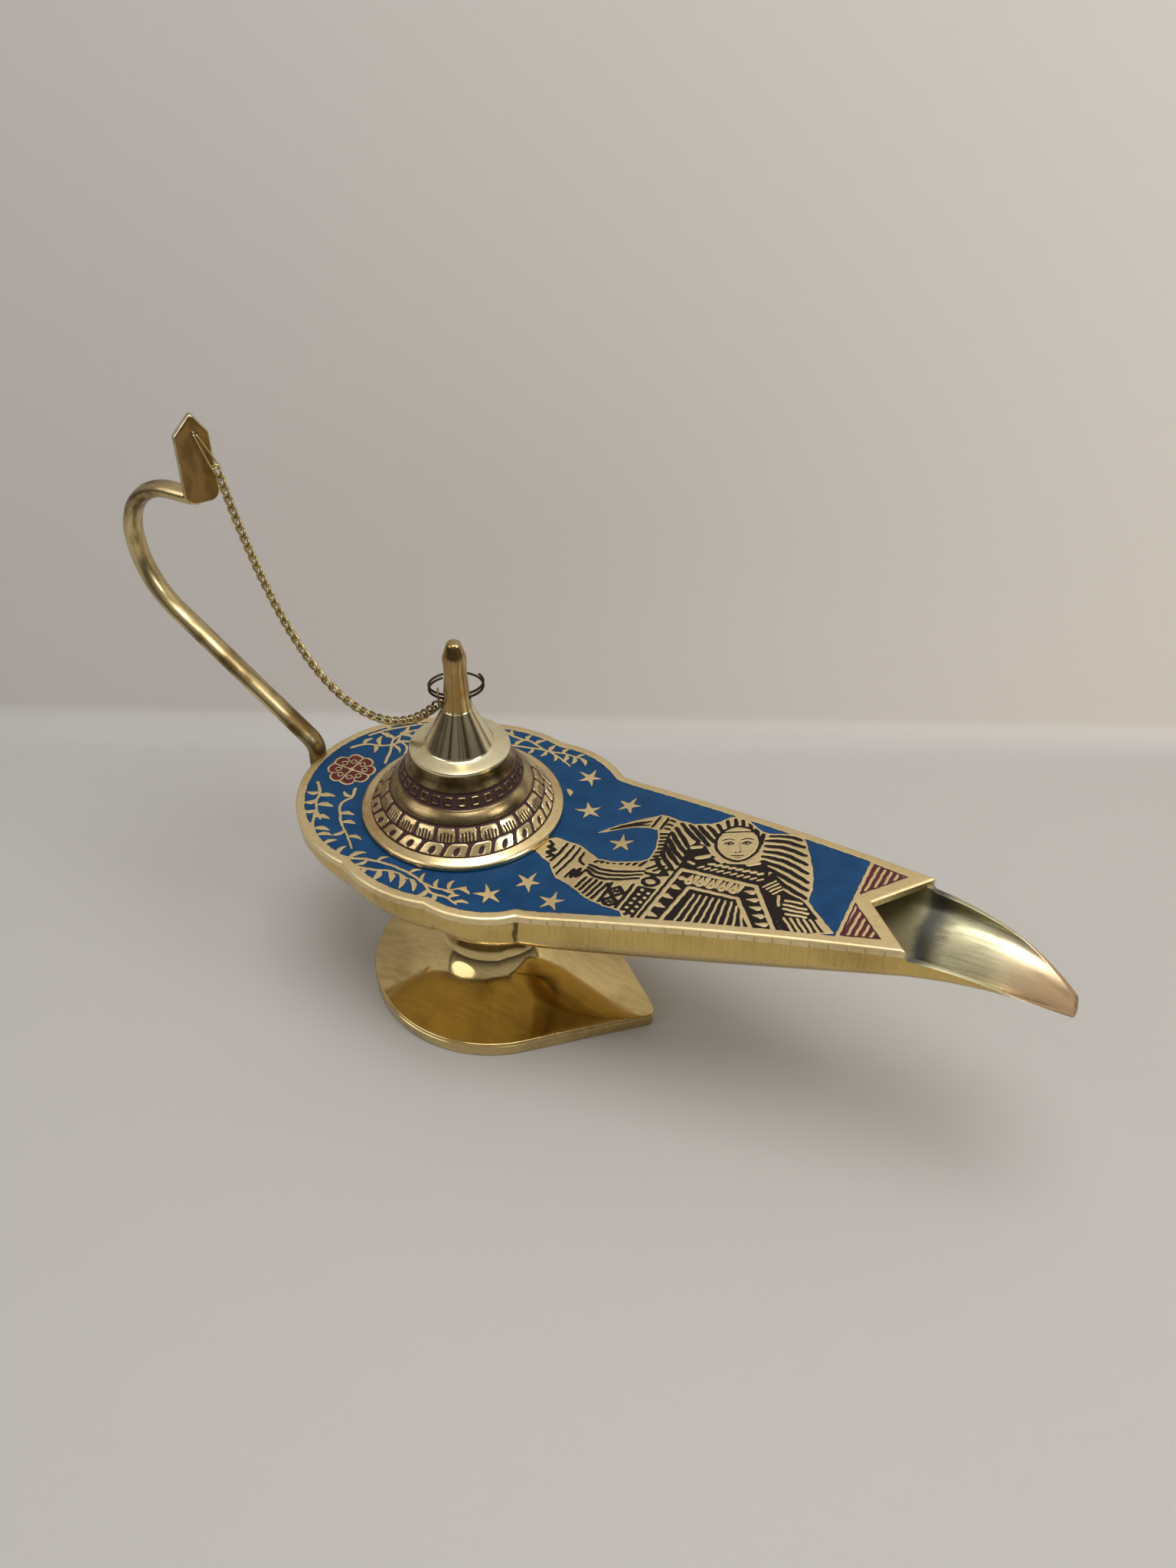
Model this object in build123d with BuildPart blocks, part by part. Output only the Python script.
from build123d import *
import os
from math import asinh, atan2, cos, cosh, hypot, radians, sin, sinh, sqrt

# A brass oil lamp of the genie kind, standing on a toed foot, in millimetres.
# Z is up from the floor, the spout points along +X and the handle along -X.
# The origin is on the floor, at the middle of the lamp's length and width.
# Plan positions of the pieces are counted from the lid's axis.

# Cover plate: level round the lid, then bent up along the spout
deck_z = 62.0
deck_t = 2.4
deck_border = 3.0
bend_x = 30.0
bend_r = 62.0
bend_deg = 12.0
end_deg = 6.3

# Plan of the cover plate: one rear lobe, then two small lobes a side, then the straight spout
rear_x = -50.4
rear_dip_x = -16.6
rear_dip_y = 36.7
mid_lobe_x = -1.5
mid_lobe_y = 41.2
side_dip_x = 12.0
side_dip_y = 39.9
front_lobe_x = 24.5
front_lobe_y = 39.4
cusp_x = 35.5
cusp_y = 33.2
spout_end_x = 131.5
spout_end_y = 14.3
notch_depth = 12.3
filler_r = 20.5

# Enamel laid in pockets of the cover plate
pocket_depth = 0.8
enamel_low = 0.1
enamel_gap = 0.05
field_inner_r = 27.5
field_gap = 4.4
bar_w = 1.0

# Cast bowl
round_x = -6.0
bowl_depth = 27.0
bowl_side = 10.2
bowl_draft = 0.985
bowl_wall = 2.4
bowl_floor = 3.0
bowl_seat = 0.31
bowl_swell = 0.42
bowl_lean = 0.6
bowl_front_x = 44.0
boss_r = 6.5
boss_h = 12.0

# Cast spout: a trough under the cover plate, then an open pouring tongue
trough_start_x = 0.0
trough_start_z = 37.0
trough_seam_z = 38.5
trough_mid_x = 82.0
trough_mid_z = 48.0
trough_end_z = 63.2
trough_side = 4.0
spout_wall = 1.9
tongue_mid_x = 152.0
tongue_mid_y = 11.3
tongue_mid_z = 66.8
tongue_spring = 5.6
tip_x = 172.3
tip_y = 7.2
tip_z = 63.5
rim_drop = 0.8
rim_mid_z = 72.1
rim_tip_z = 64.2
nose_x = 158.0
nose_y = 10.4

# Foot: a trumpet on a round base with a pointed toe
foot_x = 8.5
foot_r = 37.5
foot_toe = 54.5
foot_band = 5.0
foot_lip = 0.6
stem_r = 12.5
foot_wall = 2.6
foot_web = 6.0
flare_power = 7.5
toe_power = 9.0
toe_least = 0.6

# Screw that draws the foot up to the bowl's boss
screw_r = 2.4
screw_gap = 0.15
screw_head_r = 4.5
screw_head_h = 3.0
screw_slot_w = 1.2
screw_slot_d = 1.4
screw_bite = 8.0
washer_r = 5.5
washer_t = 1.0

# Lid, heights counted from the cover plate's top
flange_r = 29.0
flange_edge_h = 1.2
tile_r = 26.3
tile_z = 2.6
bead_r = 20.4
bead_z = 9.0
bead_swell = 0.7
oval_r = 18.0
oval_z = 12.0
neck_r = 15.4
neck_z = 16.8
disc_seat_r = 13.6
disc_z = 20.6
lid_wall = 1.8
spigot_gap = 0.4
spigot_depth = 7.0
disc_r = 14.1
disc_edge_h = 1.3
cone_r = 9.8
cone_base_z = 22.9
finial_z = 34.2
finial_base_r = 4.3
finial_waist_r = 3.15
finial_waist_z = 45.5
finial_neck_r = 3.6
finial_neck_z = 39.0
finial_shoulder_r = 3.3
finial_shoulder_z = 50.4
finial_top_r = 1.7
finial_top_z = 55.0
shank_r = 2.5
shank_gap = 0.1
nut_across = 8.0
nut_h = 4.0
nut_proud = 1.5
lid_washer_r = 5.5
lid_washer_t = 0.8

# Split ring threaded through a cross hole in the finial
hole_r = 1.6
hole_z = 38.0
hole_turn = 33.0
ring_wire = 0.7
ring_r = 7.5
ring_pitch = 1.15
ring_set = 6.8
ring_tilt = -7.0
ring_start = 120.0
half_turns = 3
half_turn = 180
quarter_turn = 90
full_turn = 360

# Handle and thumb plate
handle_w = 6.2
handle_t = 4.6
handle_root_x = -51.3
handle_root_z = 54.4
handle_bend_z = 66.3
handle_back_x = -106.9
handle_knee_z = 108.0
handle_top_z = 139.9
handle_root_r = 6.0
handle_knee_r = 27.0
handle_top_r = 18.0
tab_x = -80.0
tab_aside = 1.2
tab_turn = -35.0
tab_t = 2.6
tab_w = 9.4
tab_below = 1.0
tab_shoulder = 18.3
tab_apex = 24.1
tab_apex_aside = 0.7
tab_corner_r = 3.0
tab_soft = 0.6
tab_hole_r = 1.35
tab_hole_rise = 18.4
tab_hole_aside = 0.8

# Wire eye, jump ring and chain
eye_wire = 0.7
eye_leg = 2.6
eye_half = 1.15
eye_reach = 6.4
eye_drop = 7.6
eye_lean = 2.8
jump_wire = 0.5
jump_r = 2.0
jump_out = 4.95
link_wire = 0.6
link_pitch = 2.8
link_in_w = 1.2
link_slack = 0.18
chain_sag = 21.0

# Space left over for cutting bodies
clear = 60.0

# The lid's axis stands behind the middle of the lamp's length
lid_x = (handle_t / 2 - handle_back_x - tip_x) / 2

bowl_z = deck_z - bowl_depth
crown_x = bend_x + bend_r * sin(radians(bend_deg))
crown_r = (spout_end_x - crown_x) / (sin(radians(bend_deg)) - sin(radians(end_deg)))
bend_rise = bend_r * (1 - cos(radians(bend_deg)))
crown_rise = crown_r * (cos(radians(end_deg)) - cos(radians(bend_deg)))
spout_end_z = deck_z + bend_rise + crown_rise
high_z = spout_end_z + clear
spout_taper = (cusp_y - spout_end_y) / (spout_end_x - cusp_x)
field_end_x = spout_end_x - notch_depth - field_gap

lid_axis = Axis((lid_x, 0, 0), (0, 0, 1))
side = Plane((lid_x, 0, 0), x_dir=(1, 0, 0), z_dir=(0, -1, 0))
lid_side = Plane((lid_x, 0, deck_z), x_dir=(1, 0, 0), z_dir=(0, -1, 0))


def plan(z):
    """Level plane at height z, centred on the lid's axis."""
    return Plane((lid_x, 0, z))


def across(x):
    """Upright plane across the lamp, x ahead of the lid's axis: its x is the lamp's Y."""
    return Plane((lid_x + x, 0, 0), x_dir=(0, 1, 0), z_dir=(1, 0, 0))


def half_width(x):
    """Half the cover plate's width along the straight spout."""
    return cusp_y - spout_taper * (x - cusp_x)


def deck_height(x):
    """Height of the cover plate's top along the middle line."""
    if x <= bend_x:
        return deck_z
    if x <= crown_x:
        return deck_z + bend_r - sqrt(bend_r**2 - (x - bend_x) ** 2)
    run = crown_r * sin(radians(bend_deg)) - (x - crown_x)
    drop = sqrt(crown_r**2 - run**2) - crown_r * cos(radians(bend_deg))
    return deck_z + bend_rise + drop


def deck_line(drop):
    """Side view of the cover plate's top, lowered by drop: level, a bend up, a long crown."""
    level = Line((rear_x - clear, deck_z - drop), (bend_x, deck_z - drop))
    bend = JernArc(level @ 1, level % 1, bend_r, bend_deg)
    JernArc(bend @ 1, bend % 1, crown_r, end_deg - bend_deg)


def deck_layer(top, bottom):
    """Sheet that follows the cover plate's side view, from top to bottom below its surface."""
    with BuildPart() as layer:
        with BuildSketch(side):
            with BuildLine():
                deck_line(top)
                Line((spout_end_x, spout_end_z - top), (spout_end_x, spout_end_z - bottom))
                deck_line(bottom)
                Line((rear_x - clear, deck_z - top), (rear_x - clear, deck_z - bottom))
            make_face()
        extrude(amount=clear, both=True)
    return layer.part


def lobe_arcs(inset, share, centre_x):
    """Arcs of the round part's plan, drawn in by inset, scaled by share about centre_x."""

    def at(x, y):
        scale = share * (1 - inset / hypot(x - round_x, y))
        return (centre_x + (x - round_x) * scale, y * scale)

    ThreePointArc(at(rear_dip_x, -rear_dip_y), at(rear_x, 0), at(rear_dip_x, rear_dip_y))
    for turn in (1, -1):
        ThreePointArc(
            at(rear_dip_x, turn * rear_dip_y),
            at(mid_lobe_x, turn * mid_lobe_y),
            at(side_dip_x, turn * side_dip_y),
        )
        ThreePointArc(
            at(side_dip_x, turn * side_dip_y),
            at(front_lobe_x, turn * front_lobe_y),
            at(cusp_x, turn * cusp_y),
        )
    return at


def deck_outline():
    """Plan of the cover plate, with its notched end and its filler hole."""
    with BuildSketch(plan(0)) as outline:
        with BuildLine():
            lobe_arcs(0, 1, round_x)
            Polyline(
                (cusp_x, -cusp_y),
                (spout_end_x, -spout_end_y),
                (spout_end_x - notch_depth, 0),
                (spout_end_x, spout_end_y),
                (cusp_x, cusp_y),
            )
        make_face()
        Circle(filler_r, mode=Mode.SUBTRACT)
    return outline.sketch


def bowl_section(inset, drop, share, centre_x):
    """Lobed plan of the bowl at a drop below the deck, closed in front inside the spout."""
    with BuildSketch(plan(deck_z - drop)) as section:
        with BuildLine():
            at = lobe_arcs(inset, share, centre_x)
            ThreePointArc(at(cusp_x, cusp_y), at(bowl_front_x, 0), at(cusp_x, -cusp_y))
        make_face()
    return section.sketch


def bowl_form(inset, rise):
    """Lobed bowl, drawn in by inset and raised by rise: an upright wall on a shallow underside."""
    with BuildPart() as form:
        add(bowl_section(inset, 0, 1, round_x))
        add(bowl_section(inset, bowl_side - rise, bowl_draft, round_x))
        loft(ruled=True)
        for step in (0.0, 0.33, 0.67, 1.0):
            share = bowl_draft - (bowl_draft - bowl_seat) * step
            fall = step * (1 + bowl_swell - bowl_swell * step)
            drop = bowl_side + (bowl_depth - bowl_side) * fall - rise
            centre_x = round_x + (foot_x - round_x) * step**bowl_lean
            add(bowl_section(inset, drop, share, centre_x))
        loft()
    return form.part


def trough_section(x, half, low, spring):
    """U-shaped section across the spout at x: upright sides above an elliptical bottom."""
    with BuildSketch(across(x)) as section:
        with BuildLine():
            EllipticalCenterArc((0, spring), half, spring - low, start_angle=half_turn, arc_size=half_turn)
            Polyline((half, spring), (half, high_z), (-half, high_z), (-half, spring))
        make_face()
    return section.sketch


def trough_form(inset):
    """Trough under the spout's cover, drawn in by inset."""
    stations = (
        (trough_start_x, trough_start_z),
        (cusp_x, trough_seam_z),
        (trough_mid_x, trough_mid_z),
        (spout_end_x, trough_end_z),
    )
    with BuildPart() as form:
        for x, low in stations:
            spring = deck_height(x) - deck_t - trough_side
            add(trough_section(x, half_width(x) - inset, low + inset, spring))
        loft()
    return form.part


def tongue_form(inset):
    """Pouring tongue ahead of the cover plate, drawn in by inset."""
    end_spring = spout_end_z - deck_t - trough_side
    with BuildPart() as form:
        add(trough_section(spout_end_x, spout_end_y - inset, trough_end_z + inset, end_spring))
        mid_low = tongue_mid_z + inset
        mid_spring = tongue_mid_z + tongue_spring
        add(trough_section(tongue_mid_x, tongue_mid_y - inset, mid_low, mid_spring))
        add(trough_section(tip_x, tip_y - inset, tip_z + inset, tip_z + tongue_spring))
        loft()
    return form.part


def above_rim():
    """Everything above the walls: over the cover plate's underside, then over the tongue's rim."""
    rim_z = spout_end_z - deck_t - rim_drop
    with BuildPart() as form:
        with BuildSketch(side):
            with BuildLine():
                deck_line(deck_t)
                Line((spout_end_x, spout_end_z - deck_t), (spout_end_x, rim_z))
                ThreePointArc((spout_end_x, rim_z), (tongue_mid_x, rim_mid_z), (tip_x, rim_tip_z))
                Polyline(
                    (tip_x, rim_tip_z),
                    (tip_x + clear, rim_tip_z),
                    (tip_x + clear, high_z + clear),
                    (rear_x - clear, high_z + clear),
                    (rear_x - clear, deck_z - deck_t),
                )
            make_face()
        extrude(amount=clear, both=True)
    return form.part


above = above_rim()
bowl_out = bowl_form(0, 0)
bowl_in = bowl_form(bowl_wall, bowl_floor)
trough_out = trough_form(0)
trough_in = trough_form(spout_wall)
tongue_out = tongue_form(0)
tongue_in = tongue_form(spout_wall)
seam = across(cusp_x)

# Bowl: a lobed brass casting, open in front into the spout, with a tapped boss for the foot
with BuildPart() as bowl:
    add(bowl_out)
    add(trough_out)
    add(above, mode=Mode.SUBTRACT)
    add(bowl_in, mode=Mode.SUBTRACT)
    add(trough_in, mode=Mode.SUBTRACT)
    split(bisect_by=seam, keep=Keep.BOTTOM)
    with Locations((lid_x + foot_x, 0, bowl_z)):
        Cylinder(boss_r, boss_h, align=(Align.CENTER, Align.CENTER, Align.MIN))
        tap_h = screw_bite + screw_gap
        Cylinder(
            screw_r + screw_gap,
            tap_h,
            align=(Align.CENTER, Align.CENTER, Align.MIN),
            mode=Mode.SUBTRACT,
        )

# Spout: a brass casting soldered to the bowl at the seam, with an open tongue
with BuildPart() as spout:
    add(bowl_out)
    add(trough_out)
    add(above, mode=Mode.SUBTRACT)
    add(bowl_in, mode=Mode.SUBTRACT)
    split(bisect_by=seam, keep=Keep.TOP)
    add(tongue_out)
    add(above, mode=Mode.SUBTRACT)
    add(trough_in, mode=Mode.SUBTRACT)
    add(tongue_in, mode=Mode.SUBTRACT)
    with BuildSketch(plan(0)):
        with BuildLine():
            ThreePointArc((nose_x, -nose_y), (tip_x, 0), (nose_x, nose_y))
            Polyline(
                (nose_x, nose_y),
                (nose_x, clear),
                (rear_x - clear, clear),
                (rear_x - clear, -clear),
                (nose_x, -clear),
                (nose_x, -nose_y),
            )
        make_face()
    extrude(amount=high_z + clear, mode=Mode.INTERSECT)


def field_plan(inset):
    """Plan of the blue field: inside the border, round the lid, short of the notched end."""
    reach = field_end_x - inset
    border = deck_border + inset
    edge = half_width(reach) - border * sqrt(1 + spout_taper**2)
    corner = 1 - border / hypot(cusp_x - round_x, cusp_y)
    corner_x = round_x + (cusp_x - round_x) * corner
    with BuildSketch(plan(0)) as field:
        with BuildLine():
            lobe_arcs(border, 1, round_x)
            Polyline(
                (corner_x, -cusp_y * corner),
                (reach, -edge),
                (reach, edge),
                (corner_x, cusp_y * corner),
            )
        make_face()
        Circle(field_inner_r + inset, mode=Mode.SUBTRACT)
    return field.sketch


def panel_plan(inset, turn):
    """Plan of one of the two red triangles between the field and the notch."""
    low_x = field_end_x + bar_w + inset
    tip_gap = deck_border + inset
    slope = spout_end_y / notch_depth
    inner = bar_w / 2 + inset
    outer = half_width(low_x) - tip_gap * sqrt(1 + spout_taper**2)
    notch_x = spout_end_x - notch_depth - tip_gap * sqrt(1 + slope**2) / slope
    inner = max(inner, slope * (low_x - notch_x))
    far_x = (half_width(0) - tip_gap * sqrt(1 + spout_taper**2) + slope * notch_x) / (
        slope + spout_taper
    )
    far_y = slope * (far_x - notch_x)
    with BuildSketch(plan(0)) as panel:
        with BuildLine():
            Polyline(
                (low_x, turn * inner),
                (low_x, turn * outer),
                (far_x, turn * far_y),
                close=True,
            )
        make_face()
    return panel.sketch


# Pockets for the enamel, cut a little way into the cover plate
with BuildPart() as blue_pocket:
    add(deck_layer(-deck_t, pocket_depth))
    add(field_plan(0))
    extrude(amount=high_z, mode=Mode.INTERSECT)

with BuildPart() as red_pocket:
    add(deck_layer(-deck_t, pocket_depth))
    add(panel_plan(0, 1))
    add(panel_plan(0, -1))
    extrude(amount=high_z, mode=Mode.INTERSECT)

# Cover plate: bent brass sheet with a notched end, a filler hole and shallow enamel pockets
with BuildPart() as deck_plate:
    add(deck_layer(0, deck_t))
    add(deck_outline())
    extrude(amount=high_z, mode=Mode.INTERSECT)
    add(blue_pocket.part, mode=Mode.SUBTRACT)
    add(red_pocket.part, mode=Mode.SUBTRACT)

# Enamel fills, a hair below the brass
with BuildPart() as blue_enamel:
    add(deck_layer(enamel_low, pocket_depth))
    add(field_plan(enamel_gap))
    extrude(amount=high_z, mode=Mode.INTERSECT)

with BuildPart() as red_enamel:
    add(deck_layer(enamel_low, pocket_depth))
    add(panel_plan(enamel_gap, 1))
    add(panel_plan(enamel_gap, -1))
    extrude(amount=high_z, mode=Mode.INTERSECT)


def teardrop(z, r, toe):
    """Round base of radius r with a toe along +X, drawn on the foot's own axis at height z."""
    touch_x = r * r / toe
    touch_y = r * sqrt(1 - (r / toe) ** 2)
    with BuildSketch(Plane((lid_x + foot_x, 0, z))) as drop:
        with BuildLine():
            ThreePointArc((touch_x, -touch_y), (-r, 0), (touch_x, touch_y))
            Polyline((touch_x, touch_y), (toe, 0), (touch_x, -touch_y))
        make_face()
    return drop.sketch


def trumpet(inset, low, high):
    """Flare from the base up to the stem, drawn in by inset, between two heights."""
    with BuildPart() as form:
        for step in (0.0, 0.08, 0.2, 0.45, 1.0):
            fall = (1 - step) ** flare_power
            r = stem_r + (foot_r - foot_lip - stem_r) * fall - inset
            toe = r + toe_least + (foot_toe - foot_r) * (1 - step) ** toe_power
            add(teardrop(low + (high - low) * step, r, toe))
        loft()
    return form.part


# Foot: a hollow cast trumpet on a toed base, held up to the bowl by a screw from below
trumpet_out = trumpet(0, foot_band, bowl_z)
trumpet_in = trumpet(foot_wall, foot_band - foot_wall, bowl_z - foot_web)
with BuildPart() as foot:
    add(teardrop(0, foot_r, foot_toe))
    extrude(amount=foot_band)
    add(trumpet_out)
    add(trumpet_in, mode=Mode.SUBTRACT)
    inner_r = foot_r - foot_lip - foot_wall
    add(teardrop(0, inner_r, inner_r + toe_least + foot_toe - foot_r))
    extrude(amount=foot_band - foot_wall, mode=Mode.SUBTRACT)
    with Locations((lid_x + foot_x, 0, bowl_z)):
        Cylinder(
            screw_r + screw_gap,
            foot_web,
            align=(Align.CENTER, Align.CENTER, Align.MAX),
            mode=Mode.SUBTRACT,
        )

web_z = bowl_z - foot_web
with BuildPart() as foot_washer:
    with BuildSketch(Plane((lid_x + foot_x, 0, web_z - washer_t))):
        Circle(washer_r)
        Circle(screw_r + screw_gap, mode=Mode.SUBTRACT)
    extrude(amount=washer_t)

with BuildPart() as foot_screw:
    head_z = web_z - washer_t - screw_head_h
    with Locations((lid_x + foot_x, 0, head_z)):
        Cylinder(screw_head_r, screw_head_h, align=(Align.CENTER, Align.CENTER, Align.MIN))
        reach_z = bowl_z + screw_bite - head_z
        Cylinder(screw_r, reach_z, align=(Align.CENTER, Align.CENTER, Align.MIN))
        Box(
            2 * screw_head_r,
            screw_slot_w,
            screw_slot_d,
            align=(Align.CENTER, Align.CENTER, Align.MIN),
            mode=Mode.SUBTRACT,
        )

# Lid dome: spun brass with a flat flange, a tiled slope, a bead and a spigot in the filler hole
spigot_r = filler_r - spigot_gap
with BuildPart() as lid_dome:
    with BuildSketch(lid_side):
        with BuildLine():
            Polyline((0, disc_z), (disc_seat_r, disc_z), (neck_r, neck_z), (oval_r, oval_z))
            bead_mid_r = (oval_r + bead_r) / 2 + bead_swell
            bead_mid_z = (oval_z + bead_z) / 2 + bead_swell
            ThreePointArc((oval_r, oval_z), (bead_mid_r, bead_mid_z), (bead_r, bead_z))
            Polyline(
                (bead_r, bead_z),
                (tile_r, tile_z),
                (flange_r, flange_edge_h),
                (flange_r, 0),
                (spigot_r, 0),
                (spigot_r, -spigot_depth),
                (spigot_r - lid_wall, -spigot_depth),
                (spigot_r - lid_wall, tile_z),
                (bead_r - 2 * lid_wall, bead_z - lid_wall),
                (neck_r - lid_wall, neck_z - lid_wall),
                (disc_seat_r - lid_wall, disc_z - lid_wall),
                (0, disc_z - lid_wall),
                (0, disc_z),
            )
        make_face()
    revolve(axis=lid_axis)
    with Locations((lid_x, 0, deck_z + disc_z)):
        Cylinder(
            shank_r + shank_gap,
            2 * lid_wall,
            align=(Align.CENTER, Align.CENTER, Align.MAX),
            mode=Mode.SUBTRACT,
        )

# Lid cone: turned brass, a disc that caps the dome and a straight cone on it
with BuildPart() as lid_cone:
    with BuildSketch(lid_side):
        with BuildLine():
            Polyline(
                (shank_r + shank_gap, disc_z),
                (disc_r, disc_z),
                (disc_r, disc_z + disc_edge_h),
                (cone_r, cone_base_z),
                (finial_base_r, finial_z),
                (shank_r + shank_gap, finial_z),
                close=True,
            )
        make_face()
    revolve(axis=lid_axis)

# Finial: turned brass with a shank down through cone and dome, and a cross hole for the ring
shank_low = disc_z - lid_wall - lid_washer_t - nut_h - nut_proud
hole_axis = Vector(cos(radians(hole_turn)), sin(radians(hole_turn)), 0)
hole_mid = Vector(lid_x, 0, deck_z + hole_z)
with BuildPart() as lid_finial:
    with BuildSketch(lid_side):
        with BuildLine():
            Polyline(
                (0, shank_low),
                (shank_r, shank_low),
                (shank_r, finial_z),
                (finial_base_r, finial_z),
            )
            ThreePointArc(
                (finial_base_r, finial_z),
                (finial_neck_r, finial_neck_z),
                (finial_waist_r, finial_waist_z),
            )
            Line((finial_waist_r, finial_waist_z), (finial_shoulder_r, finial_shoulder_z))
            Polyline(
                (finial_shoulder_r, finial_shoulder_z),
                (finial_top_r, finial_top_z),
                (0, finial_top_z),
                (0, shank_low),
            )
        make_face()
    revolve(axis=lid_axis)
    with BuildSketch(Plane(hole_mid, x_dir=(0, 0, 1), z_dir=hole_axis)):
        Circle(hole_r)
    extrude(amount=2 * finial_base_r, both=True, mode=Mode.SUBTRACT)

nut_z = deck_z + disc_z - lid_wall - lid_washer_t
with BuildPart() as lid_washer:
    with BuildSketch(plan(nut_z)):
        Circle(lid_washer_r)
        Circle(shank_r + shank_gap, mode=Mode.SUBTRACT)
    extrude(amount=lid_washer_t)

with BuildPart() as lid_nut:
    with BuildSketch(plan(nut_z - nut_h)):
        RegularPolygon(nut_across / 2, 6, major_radius=False)
        Circle(shank_r + shank_gap, mode=Mode.SUBTRACT)
    extrude(amount=nut_h)

# Split ring: one unbroken wire of a little under two turns, each half turn a tilted half circle
ring_plane = Plane(hole_mid, x_dir=tuple(hole_axis), z_dir=(0, 0, 1)).rotated((ring_tilt, 0, 0))
front_rise = 1 - cos(radians(full_turn - quarter_turn - ring_start))
ring_mid_z = ring_pitch * (front_rise / 4 + 1 / 2)


def ring_point(angle):
    """Point of the split ring's middle line at an angle from the cross hole's own direction."""
    done = (angle - ring_start) // half_turn
    part = radians(angle - ring_start - half_turn * done)
    rise = ring_pitch * (done / 2 + (1 - cos(part)) / 4) - ring_mid_z
    turn = radians(angle)
    return ring_plane.from_local_coords(
        Vector(ring_r * cos(turn), ring_set + ring_r * sin(turn), rise)
    )


ring_end = ring_start + half_turn * half_turns + quarter_turn
with BuildPart() as finial_ring:
    with BuildLine() as ring_path:
        for number in range(half_turns):
            begin = ring_start + half_turn * number
            middle = begin + quarter_turn
            ThreePointArc(ring_point(begin), ring_point(middle), ring_point(begin + half_turn))
        last = ring_end - quarter_turn
        middle = ring_end - quarter_turn / 2
        ThreePointArc(ring_point(last), ring_point(middle), ring_point(ring_end))
    with BuildSketch(Plane(ring_path.line @ 0, z_dir=ring_path.line % 0)):
        Circle(ring_wire / 2)
    sweep()

ring_steps = range(int(ring_start), int(ring_end) - full_turn + 1)
ring_look = 10
ring_least = min(
    (ring_point(low) - ring_point(low + full_turn + shift)).length
    for low in ring_steps
    for shift in range(-ring_look, ring_look + 1)
    if low + full_turn + shift <= ring_end
)
print("split ring, least gap to itself", round(ring_least - ring_wire, 3))

# Handle: a flattened brass bar, brazed to the bowl's back and bent over at the top
tab_normal = Vector(cos(radians(tab_turn)), sin(radians(tab_turn)), 0)
tab_across = Vector(-sin(radians(tab_turn)), cos(radians(tab_turn)), 0)
tab_hole_z = handle_top_z + tab_hole_rise
tab_mid = Vector(lid_x + tab_x, 0, 0) + tab_across * tab_aside
tab_back = Plane(tab_mid, x_dir=tuple(tab_across), z_dir=tuple(tab_normal))
with BuildPart() as handle:
    with BuildLine() as handle_path:
        corners = (
            (lid_x + handle_root_x, 0, handle_root_z),
            (lid_x + handle_root_x, 0, handle_bend_z),
            (lid_x + handle_back_x, 0, handle_knee_z),
            (lid_x + handle_back_x, 0, handle_top_z),
            (lid_x + tab_x + handle_w, 0, handle_top_z),
        )
        FilletPolyline(*corners, radius=(handle_root_r, handle_knee_r, handle_top_r))
    with BuildSketch(Plane((lid_x + handle_root_x, 0, handle_root_z), x_dir=(0, 1, 0))):
        Ellipse(handle_w / 2, handle_t / 2)
    sweep()
    with BuildSketch(tab_back):
        with Locations((0, handle_top_z)):
            Rectangle(2 * clear, 2 * handle_w)
    extrude(amount=clear, mode=Mode.SUBTRACT)
    add(bowl.part, mode=Mode.SUBTRACT)
    add(deck_plate.part, mode=Mode.SUBTRACT)

# Thumb plate: a gabled brass plate brazed to the handle's end, pierced for the chain's eye
with BuildPart() as thumb_tab:
    with BuildSketch(tab_back):
        with BuildLine():
            FilletPolyline(
                (tab_apex_aside, handle_top_z + tab_apex),
                (-tab_w / 2, handle_top_z + tab_shoulder),
                (-tab_w / 2, handle_top_z - tab_below),
                (tab_w / 2, handle_top_z - tab_below),
                (tab_w / 2, handle_top_z + tab_shoulder),
                close=True,
                radius=(tab_soft, tab_soft, tab_corner_r, tab_corner_r, tab_soft),
            )
        make_face()
        with Locations((tab_hole_aside, tab_hole_z)):
            Circle(tab_hole_r, mode=Mode.SUBTRACT)
    extrude(amount=tab_t)

# Wire eye: a hairpin through the thumb plate's hole, its legs spread behind the plate
eye_side = eye_wire / 2 + enamel_gap


def eye_point(out, aside, z):
    """Point out from the thumb plate's back face and aside of its hole."""
    return tab_mid + tab_normal * out + tab_across * (tab_hole_aside + aside) + Vector(0, 0, z)


eye_back = -eye_wire / 2 - enamel_gap
eye_front = tab_t + eye_wire
eye_end_z = tab_hole_z - eye_drop
with BuildPart() as chain_eye:
    with BuildLine() as eye_path:
        FilletPolyline(
            eye_point(eye_back, -eye_leg, tab_hole_z),
            eye_point(eye_back, -eye_side, tab_hole_z),
            eye_point(eye_front, -eye_side, tab_hole_z),
            eye_point(tab_t + eye_reach, eye_lean - eye_half, eye_end_z),
            eye_point(tab_t + eye_reach, eye_lean + eye_half, eye_end_z),
            eye_point(eye_front, eye_side, tab_hole_z),
            eye_point(eye_back, eye_side, tab_hole_z),
            eye_point(eye_back, eye_leg, tab_hole_z),
            radius=eye_wire / 2 + enamel_gap,
        )
    with BuildSketch(Plane(eye_path.line @ 0, z_dir=eye_path.line % 0)):
        Circle(eye_wire / 2)
    sweep()

# Jump ring: a closed ring round the split ring's wires, beside the finial
jump_mid = hole_mid - hole_axis * jump_out
with BuildPart() as jump_ring:
    with Locations(Plane(jump_mid, x_dir=(0, 0, 1), z_dir=tuple(hole_axis))):
        Torus(jump_r + jump_wire / 2, jump_wire / 2)

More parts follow.
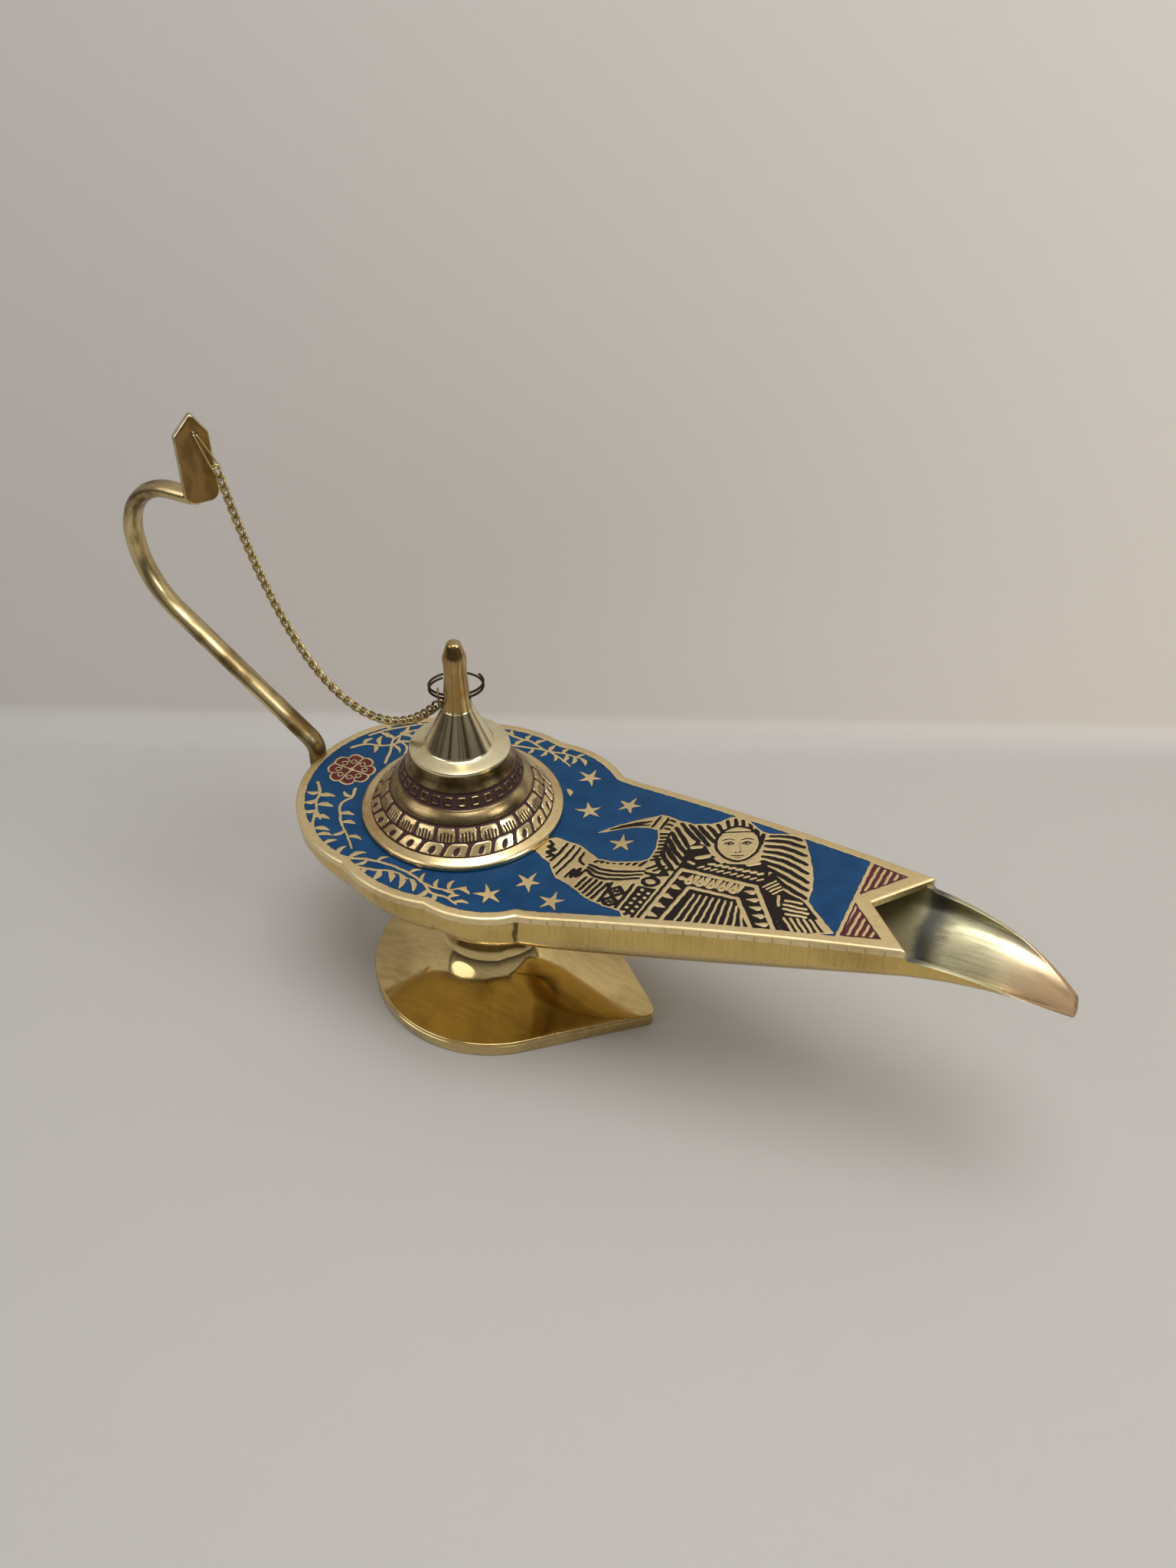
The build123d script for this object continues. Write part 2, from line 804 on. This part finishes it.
# Chain: oval wire links hung on a catenary from the eye to the jump ring
chain_top = eye_point(tab_t + eye_reach, eye_lean, eye_end_z + eye_wire / 2)
chain_low = jump_mid - Vector(0, 0, jump_r)
span = Vector(chain_low.X - chain_top.X, chain_low.Y - chain_top.Y, 0)
heading = span.normalized()
fall = chain_low.Z - chain_top.Z
low_at = span.length / 2 - chain_sag * asinh(
    fall / (2 * chain_sag * sinh(span.length / (2 * chain_sag)))
)
arc_top = chain_sag * sinh(-low_at / chain_sag)
arc_low = chain_sag * sinh((span.length - low_at) / chain_sag)
chain_length = arc_low - arc_top
link_pairs = round((chain_length / link_pitch - 1) / 2)
link_count = 2 * link_pairs + 1
link_step = chain_length / link_count
print("chain length", round(chain_length, 1), "links", link_count, "pitch", round(link_step, 3))


def chain_plane(arc, flat):
    """Frame at an arc length along the chain: x along it, links flat or upright in turn."""
    run = chain_sag * asinh(arc / chain_sag)
    lift = chain_sag * (cosh(run / chain_sag) - cosh(low_at / chain_sag))
    slope = atan2(arc, chain_sag)
    along = heading * cos(slope) + Vector(0, 0, sin(slope))
    level = Vector(-heading.Y, heading.X, 0)
    origin = chain_top + heading * (run + low_at) + Vector(0, 0, lift)
    return Plane(origin, x_dir=tuple(along), z_dir=tuple(along.cross(level) if flat else level))


link_in = link_step + link_slack
with BuildPart() as link:
    with BuildLine() as link_path:
        with BuildSketch(mode=Mode.PRIVATE) as link_shape:
            SlotOverall(link_in + link_wire, link_in_w + link_wire)
        add(link_shape.wires())
    with BuildSketch(Plane(link_path.line @ 0, z_dir=link_path.line % 0)):
        Circle(link_wire / 2)
    sweep()

places = [
    chain_plane(arc_top + (number + 0.5) * link_step, number % 2 == 1)
    for number in range(link_count)
]
with BuildPart() as chain:
    with Locations(*places):
        add(link.part)

pieces = {
    "foot": foot,
    "foot_screw": foot_screw,
    "foot_washer": foot_washer,
    "bowl": bowl,
    "spout": spout,
    "deck_plate": deck_plate,
    "blue_enamel": blue_enamel,
    "red_enamel": red_enamel,
    "lid_dome": lid_dome,
    "lid_cone": lid_cone,
    "lid_finial": lid_finial,
    "lid_washer": lid_washer,
    "lid_nut": lid_nut,
    "finial_ring": finial_ring,
    "jump_ring": jump_ring,
    "handle": handle,
    "thumb_tab": thumb_tab,
    "chain_eye": chain_eye,
    "chain": chain,
}
os.makedirs("parts", exist_ok=True)
for name, piece in pieces.items():
    piece.part.label = name
    export_step(piece.part, f"parts/{name}.step")
